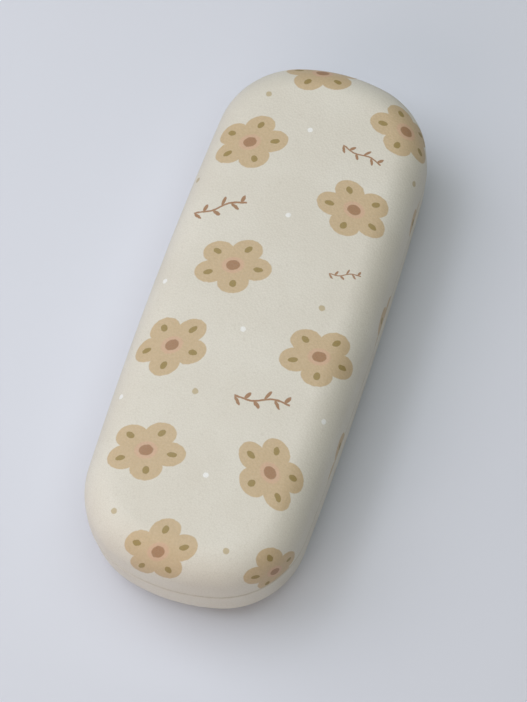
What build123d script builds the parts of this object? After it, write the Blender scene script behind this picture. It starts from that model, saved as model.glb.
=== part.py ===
from build123d import *

import math
import os

# Hinged clamshell eyeglasses case, shut, modelled as the separate pieces it is made of.
#
# Millimetres: +X along the case's length, +Z up, the hinge along the +Y side and the opening
# side at -Y. The origin is the centre of the flat face the case rests on.
#
# Build-up of each half, from the outside in:
#     leatherette cover (wraps over the rim and turns in) -> pressed steel shell -> foam sheet
#     -> velour lining, and a velour pad over a greyboard stiffener on the broad face.
# Two riveted hinge leaves with interleaved rolled knuckles on one pin join the halves.
# Two C-section leaf springs hook into slotted lugs on the leaves, inside the hinge line, and
# give the over-centre snap. A leatherette strip, flush with the covers, spans the knuckles
# outside, and a velour gusset covers the springs inside.

os.makedirs("parts", exist_ok=True)

# ---------------------------------------------------------------- outline
LENGTH = 160.0  # over the leatherette, at the parting line
WIDTH = 64.0
HEIGHT = 38.0  # table to the crown of the lid
PARTING_Z = 20.4  # height of the line where lid and base meet
RIM_GAP = 0.2  # clearance between the two rims when shut
RIM = RIM_GAP / 2  # from the parting plane to each rim

SIDE_R = 1360.0  # slight bow of the long sides in plan
CORNER_R = 24.0
END_R = 52.0  # bow of the two ends in plan

LID_EDGE_R = 10.5  # roll of the lid's top edge
BASE_EDGE_R = 11.5  # roll of the base's bottom edge
CROWN_ACROSS_R = 230.0  # the lid's top is slightly crowned both ways
CROWN_ALONG_R = 2200.0
CROWN_HALF_WIDTH = 60.0  # size of the solid that carries the crown
CROWN_DEPTH = 60.0
CROWN_HALF_ANGLE = 3.2
DRAFT = 3.0  # draft of the side walls, degrees

# ---------------------------------------------------------------- layers
COVER_THICK = 0.8  # leatherette
SHELL_THICK = 0.45  # pressed tinplate
FOAM_THICK = 0.8
LINING_THICK = 0.8
LEAF_THICK = 0.5  # hinge leaf
TURN_IN = 6.5  # depth of the leatherette turned in over the rim
RIM_OUTER_R = 0.7  # rounding of the cover's rim
RIM_INNER_R = 0.45
FOAM_GAP = 0.05  # below the turned-in flange
LINING_BELOW_RIM = 2.2

# outer surface of each layer, as an offset in from the outside of the case
OUTSIDE = 0.0
SHELL_AT = COVER_THICK
FOAM_AT = SHELL_AT + SHELL_THICK
LINING_AT = FOAM_AT + FOAM_THICK
CAVITY_AT = LINING_AT + LINING_THICK
LEAF_INSIDE = FOAM_AT + LEAF_THICK

# ---------------------------------------------------------------- padded panels
PAD_THICK = 2.6  # stiffener included
BOARD_THICK = 1.0
PAD_INSET = 13.0  # from the outer wall line to the pad's edge
BOARD_INSET = PAD_INSET + 0.7
PAD_EDGE_R = 1.4
PAD_EASE = 0.03  # gap between panel and lining
PANEL_BLANK_DEPTH = 12  # height of the prism the lid's panel is cut from

# ---------------------------------------------------------------- hinge
HINGE_HALF = 34.0  # half length of the hinge
AXIS_Y = 30.1  # far enough inside the back wall for the knuckles to sit flush
KNUCKLE_COUNT = 7  # four on the base, three on the lid
KNUCKLE_R = 0.95
KNUCKLE_END_GAP = 0.1  # taken off each end of a knuckle
KNUCKLE_RELIEF = 0.3  # clearance round the other leaf's knuckles
KNUCKLE_RELIEF_END = 0.15
TAB_START = 0.25  # knuckle tabs, from the parting plane
TAB_OVERLAP = 0.4
PIN_R = 0.5
PIN_CLEAR = 0.05
PIN_PROUD = 0.3  # pin beyond each end of the hinge
PIN_HEAD_EXTRA_R = 0.4
PIN_HEAD_THICK = 0.45
PIN_HEAD_GAP = 0.15
LEAF_DEPTH = 10.0  # from the hinge axis to the far edge of a leaf
LEAF_EASE = 0.4  # gap in the foam round a leaf
CUT_BACK = 2.6  # the shells stop this far from the axis along the hinge
STRIP_HALF = 62.0  # half length of the outer strip's window
STRIP_REACH = 9.4  # how far the outer strip runs on to each half
STRIP_GAP = 0.1
STRIP_KNUCKLE_GAP = 0.12

SPRING_X = 18.0  # centres of the two snap springs, either side of the middle
SPRING_W = 12.0
SPRING_THICK = 0.5
SPRING_HOOK = 5.0  # height of the spring's hooks above and below the axis
SPRING_BELLY = 6.05  # how far inside the axis the middle of the spring's thickness bows
SPRING_NECK = 2.9  # where the bow ends and the straight hooks begin
BOW_OVERRUN = 0.6  # bow carried past the neck
HOOK_OVERLAP = 0.1
HOOK_END = 1.15  # from the hinge axis to the hook's tip

LUG_OUT = 2.0  # how far the spring lugs stand in from their leaf
LUG_ROOT = 0.2  # overlap of lug and leaf
LUG_HALF_Z = 1.1
LUG_SIDE = 0.8  # lug beyond each side of the spring
SLOT_HALF_Z = 0.4
SLOT_SIDE = 0.2
SLOT_FLOOR = 0.55  # from the leaf's inner face to the slot's end

RIVET_X = (-29.0, -5.0, 5.0, 29.0)
RIVET_Z = 5.0  # rivet row, from the hinge axis
RIVET_R = 1.0
RIVET_HOLE_CLEAR = 0.05
RIVET_HOLE_Y = (20, 50)
RIVET_SHANK_END = 0.3  # shank and head faces, out from the riveted surfaces
RIVET_HEAD_NEAR = 0.14
RIVET_HEAD_FAR = 0.5
RIVET_HEAD_R = 1.7
RIVET_RELIEF_R = RIVET_HEAD_R + 0.1  # clearance in the strip and gusset
RIVET_RELIEF_FAR = 0.58

GUSSET_HALF = 54.0
GUSSET_REACH = 8.5  # how far the gusset runs on to each half
GUSSET_FLAT_FROM = 7.4  # where its strips against the walls begin
GUSSET_BELLY = 7.2
GUSSET_BOW_HALF = 8.0  # half height of its bow
GUSSET_BOW_OVERRUN = 0.2
GUSSET_BACK = 0.6  # from the hinge axis to the bow's back edge
GUSSET_KEEP_DEPTH = 20
GUSSET_SWEEP_INSET = 4  # inside the axis, where the sweep's length is set
GUSSET_GAP = 0.1
GUSSET_END_GAP = 0.2

# ---------------------------------------------------------------- cutting limits
BIG = 400.0
BEYOND = 60  # distance from the parting plane past the whole of a half
ACROSS = -5  # start of a cut that begins on the far side of the parting plane
BACK = dict(y0=15.0, y1=60.0)  # the hinge side only
LID, BASE = 1, -1  # direction from the parting plane into each half

parts = {}


# ---------------------------------------------------------------- helpers
def plan(offset):
    """The plan outline as a face, offset inwards: eight tangent arcs."""
    half_length, half_width = LENGTH / 2 - offset, WIDTH / 2 - offset
    side_r, corner_r, end_r = SIDE_R - offset, CORNER_R - offset, END_R - offset
    side_centre = (0.0, half_width - side_r)
    end_centre = (half_length - end_r, 0.0)

    # the corner's centre is where circles about the side's and the end's centres cross
    from_side, from_end = side_r - corner_r, end_r - corner_r
    dx, dy = end_centre[0] - side_centre[0], end_centre[1] - side_centre[1]
    span = math.hypot(dx, dy)
    along = (span * span + from_side * from_side - from_end * from_end) / (2 * span)
    aside = math.sqrt(from_side * from_side - along * along)
    ux, uy = dx / span, dy / span
    crossings = [
        (
            side_centre[0] + ux * along - sign * uy * aside,
            side_centre[1] + uy * along + sign * ux * aside,
        )
        for sign in (1, -1)
    ]
    centre = max(crossings, key=sum)

    def polar(origin, radius, angle):
        return (origin[0] + radius * math.cos(angle), origin[1] + radius * math.sin(angle))

    side_angle = math.atan2(centre[1] - side_centre[1], centre[0] - side_centre[0])
    end_angle = math.atan2(centre[1] - end_centre[1], centre[0] - end_centre[0])
    corner = [
        polar(side_centre, side_r, side_angle),
        polar(centre, corner_r, (side_angle + end_angle) / 2),
        polar(end_centre, end_r, end_angle),
    ]

    def mirrored(sx, sy):
        return [(x * sx, y * sy) for x, y in corner]

    # clockwise from the middle of the back; even entries are arc middles
    points = [
        (0, half_width),
        *corner,
        (half_length, 0),
        *reversed(mirrored(1, -1)),
        (0, -half_width),
        *mirrored(-1, -1),
        (-half_length, 0),
        *reversed(mirrored(-1, 1)),
    ]
    arcs = [
        ThreePointArc(points[i - 1], points[i], points[i + 1])
        for i in range(0, len(points), 2)
    ]
    return Face(Wire(arcs))


def slab(z0, z1, x0=-BIG / 2, x1=BIG / 2, y0=-BIG / 2, y1=BIG / 2):
    centre = Pos((x0 + x1) / 2, (y0 + y1) / 2, (z0 + z1) / 2)
    return centre * Box(x1 - x0, y1 - y0, z1 - z0)


def band(side, near, far, **limits):
    """A slab between two distances from the parting plane into one half."""
    low, high = sorted((PARTING_Z + side * near, PARTING_Z + side * far))
    return slab(low, high, **limits)


def rod_x(y, z, radius, x0, x1):
    return Pos((x0 + x1) / 2, y, z) * Rot(0, 90, 0) * Cylinder(radius, x1 - x0)


def rod_y(x, z, radius, y0, y1):
    return Pos(x, (y0 + y1) / 2, z) * Rot(90, 0, 0) * Cylinder(radius, y1 - y0)


def axis_rod(radius, x0, x1):
    """A cylinder on the hinge axis."""
    return rod_x(AXIS_Y, PARTING_Z, radius, x0, x1)


def fused(pieces):
    total, *rest = pieces
    for piece in rest:
        total += piece
    return total


def plain(shape):
    """The shape as plain solids."""
    solids = shape.solids()
    return solids[0] if len(solids) == 1 else Compound(solids)


def wall_y(x, distance):
    """Outer back wall's y at length position x and a distance from the parting plane."""
    sag = SIDE_R - math.sqrt(SIDE_R**2 - x * x)
    return WIDTH / 2 - sag - distance * math.tan(math.radians(DRAFT))


def arc_radius(belly, neck, half_chord):
    rise = belly - neck
    return (half_chord**2 + rise**2) / (2 * rise)


# ---------------------------------------------------------------- bodies the layers come from
def crown_body(z_top):
    """A solid whose upper face is the lid's crown, highest at z_top over the origin."""
    half = CROWN_HALF_WIDTH
    edge = z_top - (CROWN_ACROSS_R - math.sqrt(CROWN_ACROSS_R**2 - half * half))
    floor = z_top - CROWN_DEPTH
    section = Wire(
        [
            ThreePointArc((0, -half, edge), (0, 0, z_top), (0, half, edge)),
            Line((0, half, edge), (0, half, floor)),
            Line((0, half, floor), (0, -half, floor)),
            Line((0, -half, floor), (0, -half, edge)),
        ]
    )
    axis = Axis((0, 0, z_top - CROWN_ALONG_R), (0, 1, 0))
    face = Face(section).rotate(axis, -CROWN_HALF_ANGLE)
    return revolve(face, axis=axis, revolution_arc=2 * CROWN_HALF_ANGLE)


def lid_body(offset):
    """Solid inside the lid's outer surface offset inwards, from the parting plane up."""
    face = Pos(0, 0, PARTING_Z) * plan(offset)
    above_crown = 6
    height = HEIGHT - PARTING_Z + above_crown
    raw = extrude(face, amount=height, dir=(0, 0, 1), taper=DRAFT)
    body = raw & crown_body(HEIGHT - offset)
    top = body.faces().sort_by(Axis.Z)[-1]
    return fillet(top.edges(), LID_EDGE_R - offset)


def base_body(offset):
    """Solid inside the base's outer surface offset inwards, from the parting plane down."""
    face = Pos(0, 0, PARTING_Z) * plan(offset)
    raw = extrude(face, amount=PARTING_Z - offset, dir=(0, 0, -1), taper=DRAFT)
    bottom = raw.faces().sort_by(Axis.Z)[0]
    return fillet(bottom.edges(), BASE_EDGE_R - offset)


# ---------------------------------------------------------------- layers of one half
def rim_edges(skin, side, offset):
    """Edges of the skin's rim that lie on the plan outline at that offset."""
    outline = plan(offset).outer_wire()

    def on_outline(edge):
        middle = edge @ 0.5
        return outline.distance_to(Vertex(middle.X, middle.Y, 0)) < 0.02

    rim_z = PARTING_Z + side * RIM
    return [e for e in skin.edges() if abs(e.center().Z - rim_z) < 1e-3 and on_outline(e)]


def cover(layers, side):
    """Leatherette: outer skin, rim wrap and turned-in flange, with a window for the hinge."""
    under_rim = RIM + COVER_THICK
    skin = layers[OUTSIDE] & band(side, RIM, BEYOND)
    skin = skin - (layers[SHELL_AT] & band(side, under_rim, BEYOND)) - layers[LINING_AT]
    skin = fillet(rim_edges(skin, side, OUTSIDE), RIM_OUTER_R)
    skin = fillet(rim_edges(skin, side, LINING_AT), RIM_INNER_R)
    flange = (layers[FOAM_AT] - layers[LINING_AT]) & band(side, under_rim, TURN_IN)
    window = band(side, ACROSS, STRIP_REACH + STRIP_GAP, x0=-STRIP_HALF, x1=STRIP_HALF, **BACK)
    return skin + flange - window


def shell(layers, side):
    steel = (layers[SHELL_AT] - layers[FOAM_AT]) & band(side, RIM + COVER_THICK, BEYOND)
    steel -= band(side, ACROSS, CUT_BACK, x0=-STRIP_HALF, x1=STRIP_HALF, **BACK)
    return drilled(steel, side)


def foam(layers, side):
    """Foam sheet, below the turned-in flange and round the leaf."""
    sheet = (layers[FOAM_AT] - layers[LINING_AT]) & band(side, TURN_IN + FOAM_GAP, BEYOND)
    end = HINGE_HALF + LEAF_EASE
    return sheet - band(side, ACROSS, LEAF_DEPTH + LEAF_EASE, x0=-end, x1=end, **BACK)


def lining(layers, side):
    sheet = (layers[LINING_AT] - layers[CAVITY_AT]) & band(side, LINING_BELOW_RIM, BEYOND)
    end = GUSSET_HALF + GUSSET_END_GAP
    return sheet - band(side, ACROSS, GUSSET_REACH + GUSSET_GAP, x0=-end, x1=end, **BACK)


# ---------------------------------------------------------------- hinge leaves
pitch = 2 * HINGE_HALF / KNUCKLE_COUNT
knuckle_spans = [
    (
        -HINGE_HALF + i * pitch + KNUCKLE_END_GAP,
        -HINGE_HALF + (i + 1) * pitch - KNUCKLE_END_GAP,
    )
    for i in range(KNUCKLE_COUNT)
]
KNUCKLES = {BASE: knuckle_spans[0::2], LID: knuckle_spans[1::2]}


def hinge_leaf(layers, side):
    """Leaf formed against the inside of the shell, with rolled knuckles and spring lugs."""
    leaf = (layers[FOAM_AT] - layers[LEAF_INSIDE]) & band(
        side, CUT_BACK, LEAF_DEPTH, x0=-HINGE_HALF, x1=HINGE_HALF, **BACK
    )
    for x0, x1 in KNUCKLES[side]:
        tab = (layers[FOAM_AT] - layers[LEAF_INSIDE]) & band(
            side, TAB_START, CUT_BACK + TAB_OVERLAP, x0=x0, x1=x1, **BACK
        )
        leaf = leaf + tab + axis_rod(KNUCKLE_R, x0, x1)
    leaf -= axis_rod(PIN_R + PIN_CLEAR, -HINGE_HALF - 5, HINGE_HALF + 5)
    for x0, x1 in KNUCKLES[-side]:
        leaf -= axis_rod(
            KNUCKLE_R + KNUCKLE_RELIEF, x0 - KNUCKLE_RELIEF_END, x1 + KNUCKLE_RELIEF_END
        )
    # lugs folded inwards, each with a slot that takes a spring hook
    for x in (-SPRING_X, SPRING_X):
        inner = wall_y(x, SPRING_HOOK) - LEAF_INSIDE
        leaf += band(
            side,
            SPRING_HOOK - LUG_HALF_Z,
            SPRING_HOOK + LUG_HALF_Z,
            x0=x - SPRING_W / 2 - LUG_SIDE,
            x1=x + SPRING_W / 2 + LUG_SIDE,
            y0=inner - LUG_OUT,
            y1=inner + LUG_ROOT,
        )
        leaf -= band(
            side,
            SPRING_HOOK - SLOT_HALF_Z,
            SPRING_HOOK + SLOT_HALF_Z,
            x0=x - SPRING_W / 2 - SLOT_SIDE,
            x1=x + SPRING_W / 2 + SLOT_SIDE,
            y0=inner - LUG_OUT - 1,
            y1=inner - SLOT_FLOOR,
        )
    return drilled(leaf, side)


# ---------------------------------------------------------------- rivets through leaf and shell
# x, y of the leaf's inner face, y of the steel's outer face
RIVET_PLACES = [
    (x, wall_y(x, RIVET_Z) - LEAF_INSIDE, wall_y(x, RIVET_Z) - COVER_THICK) for x in RIVET_X
]


def drilled(piece, side):
    for x in RIVET_X:
        piece -= rod_y(x, PARTING_Z + side * RIVET_Z, RIVET_R + RIVET_HOLE_CLEAR, *RIVET_HOLE_Y)
    return piece


def rivet(side, x, y_in, y_out):
    z = PARTING_Z + side * RIVET_Z
    near, far = RIVET_HEAD_NEAR, RIVET_HEAD_FAR
    body = rod_y(x, z, RIVET_R, y_in - RIVET_SHANK_END, y_out + RIVET_SHANK_END)
    body += rod_y(x, z, RIVET_HEAD_R, y_in - far, y_in - near)
    body += rod_y(x, z, RIVET_HEAD_R, y_out + near, y_out + far)
    return body


def clear_of_rivets(piece):
    for side in (LID, BASE):
        z = PARTING_Z + side * RIVET_Z
        for x, y_in, y_out in RIVET_PLACES:
            y0, y1 = y_in - RIVET_RELIEF_FAR, y_out + RIVET_RELIEF_FAR
            piece -= rod_y(x, z, RIVET_RELIEF_R, y0, y1)
    return piece


# ---------------------------------------------------------------- the two halves
LAYER_OFFSETS = (OUTSIDE, SHELL_AT, FOAM_AT, LINING_AT, CAVITY_AT, LEAF_INSIDE)
HALVES = {
    LID: {offset: lid_body(offset) for offset in LAYER_OFFSETS},
    BASE: {offset: base_body(offset) for offset in LAYER_OFFSETS},
}

for side, name in ((LID, "lid"), (BASE, "base")):
    layers = HALVES[side]
    parts[name + "_cover"] = plain(cover(layers, side))
    parts[name + "_shell"] = plain(shell(layers, side))
    parts[name + "_foam"] = plain(foam(layers, side))
    parts[name + "_lining"] = plain(lining(layers, side))
    parts[name + "_hinge_leaf"] = plain(hinge_leaf(layers, side))
    rivets = fused(rivet(side, *place) for place in RIVET_PLACES)
    parts[name + "_hinge_rivets"] = Compound(rivets.solids())


# ---------------------------------------------------------------- hinge pin, headed at both ends
def hinge_pin():
    pin = axis_rod(PIN_R, -HINGE_HALF - PIN_PROUD, HINGE_HALF + PIN_PROUD)
    head = HINGE_HALF + PIN_HEAD_GAP
    for end in (-1, 1):
        x0, x1 = sorted((end * head, end * (head + PIN_HEAD_THICK)))
        pin += axis_rod(PIN_R + PIN_HEAD_EXTRA_R, x0, x1)
    return pin


# ---------------------------------------------------------------- snap springs
def snap_spring(x):
    """A bow cut from a tube along X, with a straight hook at top and bottom."""
    x0, x1 = x - SPRING_W / 2, x + SPRING_W / 2
    half_thick = SPRING_THICK / 2
    radius = arc_radius(SPRING_BELLY, SPRING_NECK, SPRING_HOOK)
    y = AXIS_Y + radius - SPRING_BELLY
    spring = rod_x(y, PARTING_Z, radius + half_thick, x0, x1) - rod_x(
        y, PARTING_Z, radius - half_thick, x0 - 1, x1 + 1
    )
    reach = SPRING_HOOK + half_thick
    neck_y = AXIS_Y - SPRING_NECK
    spring &= slab(PARTING_Z - reach, PARTING_Z + reach, y0=0, y1=neck_y + BOW_OVERRUN)
    for side in (BASE, LID):
        z = PARTING_Z + side * SPRING_HOOK
        spring += slab(
            z - half_thick,
            z + half_thick,
            x0=x0,
            x1=x1,
            y0=neck_y - HOOK_OVERLAP,
            y1=AXIS_Y - HOOK_END,
        )
    return spring


# ---------------------------------------------------------------- outer hinge strip
def hinge_strip():
    end = STRIP_HALF - STRIP_GAP
    strip = fused(
        (layers[OUTSIDE] - layers[SHELL_AT])
        & band(side, 0, STRIP_REACH, x0=-end, x1=end, **BACK)
        for side, layers in HALVES.items()
    )
    strip -= axis_rod(KNUCKLE_R + STRIP_KNUCKLE_GAP, -HINGE_HALF - 1, HINGE_HALF + 1)
    return clear_of_rivets(strip)


# ---------------------------------------------------------------- inner velour gusset
def hinge_gusset():
    """A C-section bow swept along the curved back wall, with a strip against each wall."""
    mid_lining = LINING_AT + LINING_THICK / 2
    neck = AXIS_Y - (wall_y(0, GUSSET_BOW_HALF) - mid_lining)
    radius = arc_radius(GUSSET_BELLY, neck, GUSSET_BOW_HALF)
    centre = Pos(AXIS_Y + radius - GUSSET_BELLY, PARTING_Z)
    ring_out = Plane.YZ * centre * Circle(radius + LINING_THICK / 2)
    ring_in = Plane.YZ * centre * Circle(radius - LINING_THICK / 2)
    keep_centre = Pos(AXIS_Y - GUSSET_BACK - GUSSET_KEEP_DEPTH / 2, PARTING_Z)
    keep_height = 2 * (GUSSET_BOW_HALF + GUSSET_BOW_OVERRUN)
    keep = Plane.YZ * keep_centre * Rectangle(GUSSET_KEEP_DEPTH, keep_height)
    section = (ring_out - ring_in) & keep

    axis = Axis((0, WIDTH / 2 - SIDE_R, PARTING_Z), (0, 0, 1))
    sweep_r = SIDE_R - WIDTH / 2 + AXIS_Y - GUSSET_SWEEP_INSET
    turn = math.degrees(math.asin(GUSSET_HALF / sweep_r))
    gusset = fused(
        revolve(face.rotate(axis, -turn), axis=axis, revolution_arc=2 * turn)
        for face in section.faces()
    )
    gusset &= slab(-10, 90, x0=-GUSSET_HALF, x1=GUSSET_HALF)
    gusset = (gusset & HALVES[LID][LINING_AT]) + (gusset & HALVES[BASE][LINING_AT])
    for side, layers in HALVES.items():
        gusset += (layers[LINING_AT] - layers[CAVITY_AT]) & band(
            side, GUSSET_FLAT_FROM, GUSSET_REACH, x0=-GUSSET_HALF, x1=GUSSET_HALF, **BACK
        )
    return clear_of_rivets(gusset)


parts["hinge_pin"] = plain(hinge_pin())
parts["snap_spring_left"] = plain(snap_spring(-SPRING_X))
parts["snap_spring_right"] = plain(snap_spring(SPRING_X))
parts["hinge_cover_strip"] = plain(hinge_strip())
parts["hinge_gusset"] = plain(hinge_gusset())


# ---------------------------------------------------------------- padded panels
def prism(offset, z0, z1):
    return extrude(Pos(0, 0, z0) * plan(offset), amount=z1 - z0, dir=(0, 0, 1))


def floor_panel():
    """Flat board and the pad over it, on the base's floor."""
    floor = CAVITY_AT + PAD_EASE
    board = prism(BOARD_INSET, floor, floor + BOARD_THICK)
    pad = prism(PAD_INSET, floor, floor + PAD_THICK)
    pad = fillet(pad.faces().sort_by(Axis.Z)[-1].edges(), PAD_EDGE_R)
    return board, pad - board


def ceiling_panel():
    """Board and pad that follow the lid's crown."""
    top = HEIGHT - CAVITY_AT - PAD_EASE
    under = HEIGHT - PANEL_BLANK_DEPTH
    crown = crown_body(top)
    board = (prism(BOARD_INSET, under, HEIGHT) & crown) - crown_body(top - BOARD_THICK)
    pad = (prism(PAD_INSET, under, HEIGHT) & crown) - crown_body(top - PAD_THICK)
    lower = pad.faces().sort_by(SortBy.AREA)[-2:].sort_by(Axis.Z)[0]
    pad = fillet(lower.edges(), PAD_EDGE_R)
    return board, pad - board


for name, (board, pad) in (("base_floor", floor_panel()), ("lid_ceiling", ceiling_panel())):
    parts[name + "_board"] = plain(board)
    parts[name + "_pad"] = plain(pad)

for name, shape in parts.items():
    export_step(shape, f"parts/{name}.step")
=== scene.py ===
"""A hinged hard case covered in leatherette, closed and lying on its base.

Frame: X runs along the length, Y across it with the hinge at the back (+Y), and Z up from the
underside of the base. The lid and the base meet at the parting plane. Pieces are worked out in
millimetres and built in metres. Throughout, side is +1 for the lid and -1 for the base, and
depth is the distance from the parting plane into that side.
"""

import math

import bmesh
import bpy
import numpy as np
from mathutils import Matrix, Vector
from mathutils.kdtree import KDTree


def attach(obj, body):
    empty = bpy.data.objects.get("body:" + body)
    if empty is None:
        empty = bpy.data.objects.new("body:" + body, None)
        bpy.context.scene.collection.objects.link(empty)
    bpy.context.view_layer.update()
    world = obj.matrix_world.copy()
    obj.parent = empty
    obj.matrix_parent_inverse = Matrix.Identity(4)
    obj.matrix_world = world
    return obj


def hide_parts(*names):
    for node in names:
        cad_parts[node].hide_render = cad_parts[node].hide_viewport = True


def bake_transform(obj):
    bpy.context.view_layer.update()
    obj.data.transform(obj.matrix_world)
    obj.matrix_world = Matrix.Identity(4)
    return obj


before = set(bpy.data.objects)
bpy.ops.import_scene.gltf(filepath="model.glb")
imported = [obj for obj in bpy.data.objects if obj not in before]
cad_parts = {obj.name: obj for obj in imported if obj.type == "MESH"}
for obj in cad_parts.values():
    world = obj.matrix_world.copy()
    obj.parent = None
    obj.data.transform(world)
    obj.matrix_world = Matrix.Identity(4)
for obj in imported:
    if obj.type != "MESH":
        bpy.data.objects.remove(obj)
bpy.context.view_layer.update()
scene = bpy.context.scene

# ---------------------------------------------------------------- dimensions, mm
MILLI = 0.001
LENGTH, WIDTH, HEIGHT = 160.0, 64.0, 38.0
PARTING_Z = 20.4
SIDE_R, CORNER_R, END_R = 1360.0, 24.0, 52.0  # arcs of the plan outline
LID_R, BASE_R = 10.5, 11.5  # rolled edges round the broad faces
CROWN_ACROSS_R, CROWN_ALONG_R = 230.0, 2200.0  # the lid's domed top
DRAFT = math.radians(3.0)
DRAFT_TAN, DRAFT_COS = math.tan(DRAFT), math.cos(DRAFT)
RIM_DEPTH = 0.1  # from the parting plane to each cover's rim
RIM_R, RIM_INNER_R = 0.7, 0.45

# how far in from the outside each layer's outer face lies
SHELL_IN, FOAM_IN, LINING_IN, CAVITY_IN = 0.8, 1.25, 2.05, 2.85

NOTCH_FRONT_Y, NOTCH_BACK_Y, NOTCH_OVERRUN = 15, 60, 5
AXIS_Y, HINGE_HALF_X = 30.1, 34.0


# ---------------------------------------------------------------- plan outline and surfaces
def plan_outline(side_steps=30, corner_steps=28, end_steps=12):
    """Points and outward normals of the outline at the parting plane, clockwise from above."""
    side_centre = np.array([0, WIDTH / 2 - SIDE_R])
    end_centre = np.array([LENGTH / 2 - END_R, 0.0])
    # the corner's centre is where two circles about the other centres cross
    side_reach, end_reach = SIDE_R - CORNER_R, END_R - CORNER_R
    gap = np.linalg.norm(end_centre - side_centre)
    foot = (gap * gap + side_reach * side_reach - end_reach * end_reach) / (2 * gap)
    offset = math.sqrt(side_reach * side_reach - foot * foot)
    along = (end_centre - side_centre) / gap
    square = np.array([-along[1], along[0]])
    corner_centre = max(
        [side_centre + along * foot + square * sign * offset for sign in (1, -1)],
        key=lambda p: p[0] + p[1],
    )

    def bearing(centre):
        return math.atan2(corner_centre[1] - centre[1], corner_centre[0] - centre[0])

    side_end, corner_end = bearing(side_centre), bearing(end_centre)
    points, normals = [], []
    for centre, radius, angles in (
        (side_centre, SIDE_R, np.linspace(math.pi / 2, side_end, side_steps, endpoint=False)),
        (corner_centre, CORNER_R, np.linspace(side_end, corner_end, corner_steps, endpoint=False)),
        (end_centre, END_R, np.linspace(corner_end, 0, end_steps)),
    ):
        normal = np.stack([np.cos(angles), np.sin(angles)], 1)
        points.append(centre + radius * normal)
        normals.append(normal)

    def mirror(parts):
        quarter = np.concatenate(parts)
        return np.concatenate([
            quarter,
            (quarter[:-1] * [1, -1])[::-1],
            quarter[1:] * [-1, -1],
            (quarter[1:-1] * [-1, 1])[::-1],
        ])

    return mirror(points), mirror(normals)


OUTLINE, NORMALS = plan_outline()
COUNT = len(OUTLINE)


def crown(x, y, inset=0.0):
    """Height of the lid's domed face, moved in by inset."""
    top = HEIGHT - inset
    middle = top - (CROWN_ACROSS_R - np.sqrt(CROWN_ACROSS_R**2 - y * y))
    radius = middle - (top - CROWN_ALONG_R)
    return top - CROWN_ALONG_R + np.sqrt(radius * radius - x * x)


def broad_face(side, plan, inset):
    """Height of the lid's top or the base's bottom, moved in by inset, at plan points."""
    if side > 0:
        return crown(plan[:, 0], plan[:, 1], inset)
    return np.full(len(plan), inset)


def ring(inset, z):
    """The outline moved in by inset, at height z. Either may vary round the ring."""
    inset = np.broadcast_to(np.asarray(inset, float), (COUNT,))
    z = np.broadcast_to(np.asarray(z, float), (COUNT,))
    return np.c_[OUTLINE - NORMALS * inset[:, None], z]


def wall(side, inset, depth):
    """Ring on a drafted side wall."""
    return ring(inset + depth * DRAFT_TAN, PARTING_Z + side * depth)


def towards_spine(plan, spine, steps):
    """Plan rings that shrink from plan on to a line along X, spine times the ring's length."""
    shares = [k / steps for k in range(1, steps + 1)]
    return [plan * (1 - t) + plan * [spine, 0.0] * t for t in shares]


def shell_rings(side, inset, start, wall_steps=6, roll_steps=12, cap_steps=22):
    """Rings up the wall from depth start, over the rolled edge, to the middle of the face."""
    radius = (LID_R if side > 0 else BASE_R) - inset
    if side > 0:
        # settle the roll's centre so that it touches the crown
        centre_z = np.full(COUNT, HEIGHT - inset - radius)
        for _ in range(20):
            centre_in = inset + (centre_z - PARTING_Z) * DRAFT_TAN + radius / DRAFT_COS
            centre = OUTLINE - NORMALS * centre_in[:, None]
            nudge = 1e-3
            ahead, behind = centre + NORMALS * nudge, centre - NORMALS * nudge
            slope = (crown(*ahead.T, inset) - crown(*behind.T, inset)) / (2 * nudge)
            face = crown(centre[:, 0], centre[:, 1], inset)
            centre_z = face - radius * np.sqrt(1 + slope * slope)
        last = np.arctan2(1.0, -slope)
    else:
        centre_z = np.full(COUNT, inset + radius)
        centre_in = inset + (PARTING_Z - centre_z) * DRAFT_TAN + radius / DRAFT_COS
        last = np.full(COUNT, math.pi / 2)
    # even steps along each profile: a straight wall where there is one, then the roll
    wall_end = side * (centre_z - PARTING_Z) + radius * math.sin(DRAFT)
    low = np.arcsin(np.clip((start - side * (centre_z - PARTING_Z)) / radius, -1, 1))
    first = np.where(wall_end > start, DRAFT, np.maximum(DRAFT, low))
    straight = np.maximum(wall_end - start, 0.0) / DRAFT_COS
    total = straight + radius * (last - first)
    steps = wall_steps + roll_steps
    rings = []
    for k in range(steps + 1):
        along = total * k / steps
        depth = start + along * DRAFT_COS
        angle = first + np.maximum(along - straight, 0.0) / radius
        on_wall = along < straight
        rings.append(ring(
            np.where(on_wall, inset + depth * DRAFT_TAN, centre_in - radius * np.cos(angle)),
            np.where(on_wall, PARTING_Z + side * depth, centre_z + side * radius * np.sin(angle)),
        ))
    for plan in towards_spine(rings[-1][:, :2], 0.62, cap_steps):
        rings.append(np.c_[plan, broad_face(side, plan, inset)])
    return rings


# ---------------------------------------------------------------- mesh building
def smooth(piece, sharp=40):
    """Smooth shading, with edges sharper than sharp degrees kept crisp."""
    piece.data.shade_smooth()
    piece.data.set_sharp_from_angle(angle=math.radians(sharp))


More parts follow.
